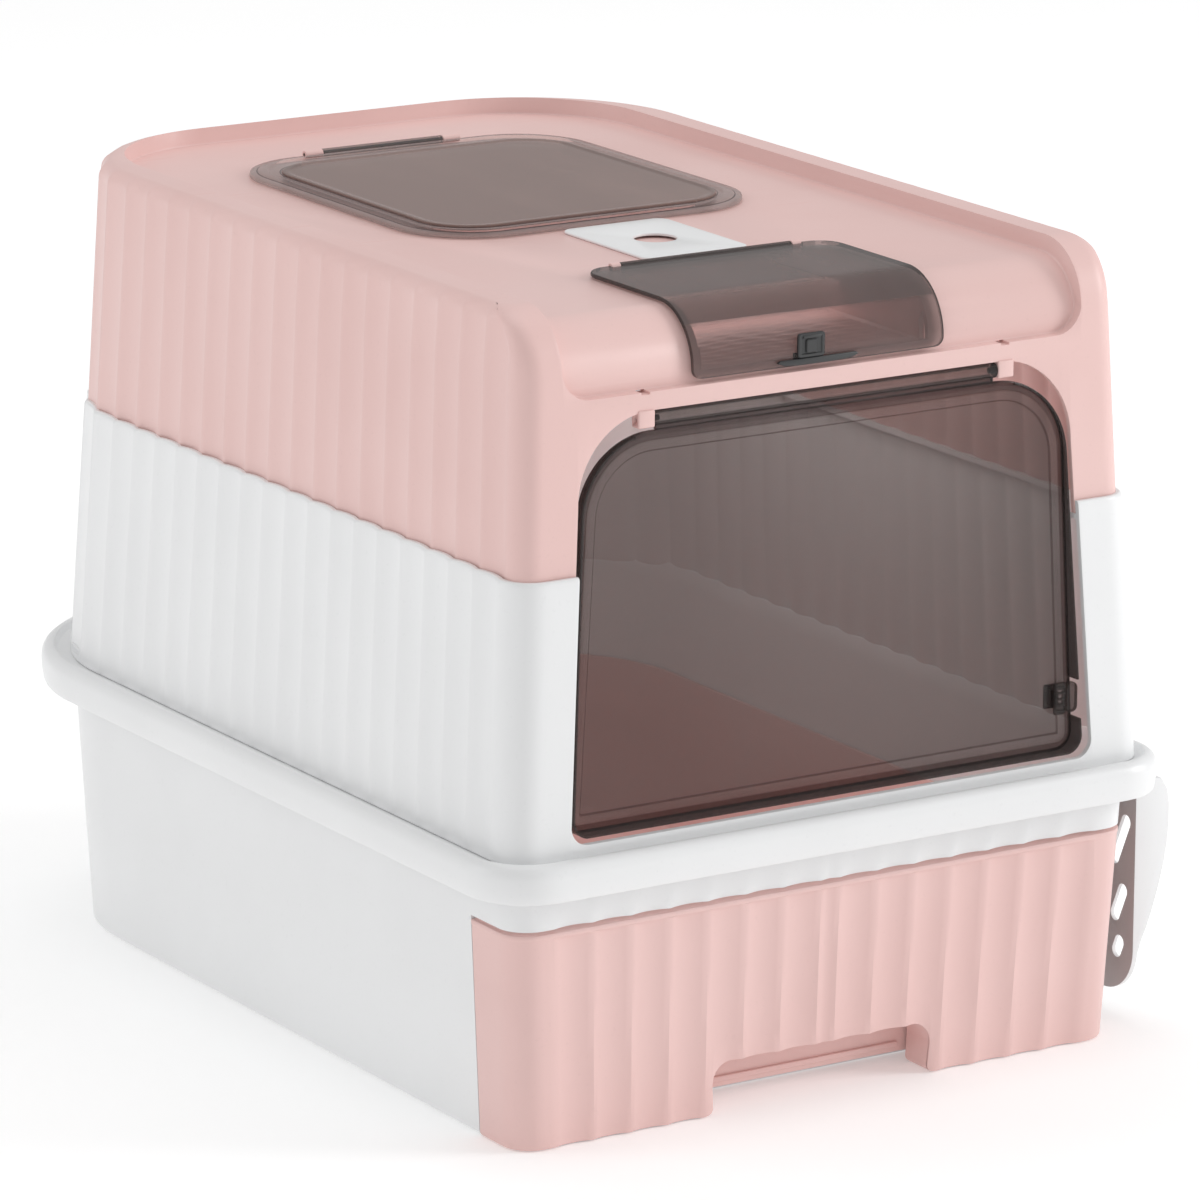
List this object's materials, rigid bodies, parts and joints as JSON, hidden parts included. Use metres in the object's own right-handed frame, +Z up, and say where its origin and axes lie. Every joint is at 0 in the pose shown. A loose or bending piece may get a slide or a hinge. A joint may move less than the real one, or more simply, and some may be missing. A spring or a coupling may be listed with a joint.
{
  "type": "hooded cat litter box",
  "caption": "Enclosed cat litter box: white tub and shell, pink ribbed hood and litter drawer, smoky swing door, top lid and storage cover, side scoop.",
  "frame": {"origin": "on the floor under the middle of the tub", "axes": "+X to the box's right seen from the front, +Y to its back, +Z up; the entrance faces -Y"},
  "size_m": [0.4404, 0.5748, 0.43],
  "materials": {
    "white_plastic": "satin",
    "pink_plastic": "satin",
    "smoky_clear": "gloss",
    "dark_plastic": "satin"
  },
  "bodies": {
    "tub": {"base_tub": "white_plastic"},
    "drawer": {"drawer_front": "pink_plastic", "drawer_tray": "pink_plastic"},
    "shell": {"mid_shell": "white_plastic"},
    "hood": {"hood": "pink_plastic", "door_hangers": "pink_plastic", "storage_bin": "pink_plastic", "storage_rod": "dark_plastic", "lid_rod": "dark_plastic", "filter_cup": "pink_plastic"},
    "door": {"front_door": "smoky_clear", "door_pins": "dark_plastic"},
    "lock": {"door_lock": "dark_plastic"},
    "cover": {"storage_cover": "smoky_clear"},
    "latch": {"storage_latch": "dark_plastic", "latch_pull": "dark_plastic"},
    "lid": {"top_lid": "smoky_clear", "lid_window": "smoky_clear"},
    "filter_plate": {"filter_cover": "white_plastic"},
    "scoop": {"scoop": "white_plastic"}
  },
  "joints": [
    {"name": "drawer_slide", "type": "slide", "parent": "tub", "child": "drawer", "axis": [0, -1, 0], "range_m": [0, 0.4]},
    {"name": "shell_lift", "type": "slide", "parent": "tub", "child": "shell", "axis": [0, 0, 1], "range_m": [0, 0.2]},
    {"name": "hood_lift", "type": "slide", "parent": "shell", "child": "hood", "axis": [0, 0, 1], "range_m": [0, 0.2]},
    {"name": "door_swing", "type": "hinge", "parent": "hood", "child": "door", "pos_m": [0, -0.258, 0.3706], "axis": [1, 0, 0], "range_deg": [-75, 75]},
    {"name": "lock_slide", "type": "slide", "parent": "door", "child": "lock", "axis": [1, 0, 0], "range_m": [0, 0.0042]},
    {"name": "cover_hinge", "type": "hinge", "parent": "hood", "child": "cover", "pos_m": [0, -0.1515, 0.4228], "axis": [-1, 0, 0], "range_deg": [0, 95]},
    {"name": "latch_slide", "type": "slide", "parent": "cover", "child": "latch", "axis": [0, 0, 1], "range_m": [0, 0.003]},
    {"name": "lid_hinge", "type": "hinge", "parent": "hood", "child": "lid", "pos_m": [0, 0.1836, 0.4234], "axis": [-1, 0, 0], "range_deg": [0, 100]},
    {"name": "filter_plate_lift", "type": "slide", "parent": "hood", "child": "filter_plate", "axis": [0, 0, 1], "range_m": [0, 0.05]},
    {"name": "scoop_lift", "type": "slide", "parent": "tub", "child": "scoop", "axis": [0, 0, 1], "range_m": [0, 0.15]}
  ]
}
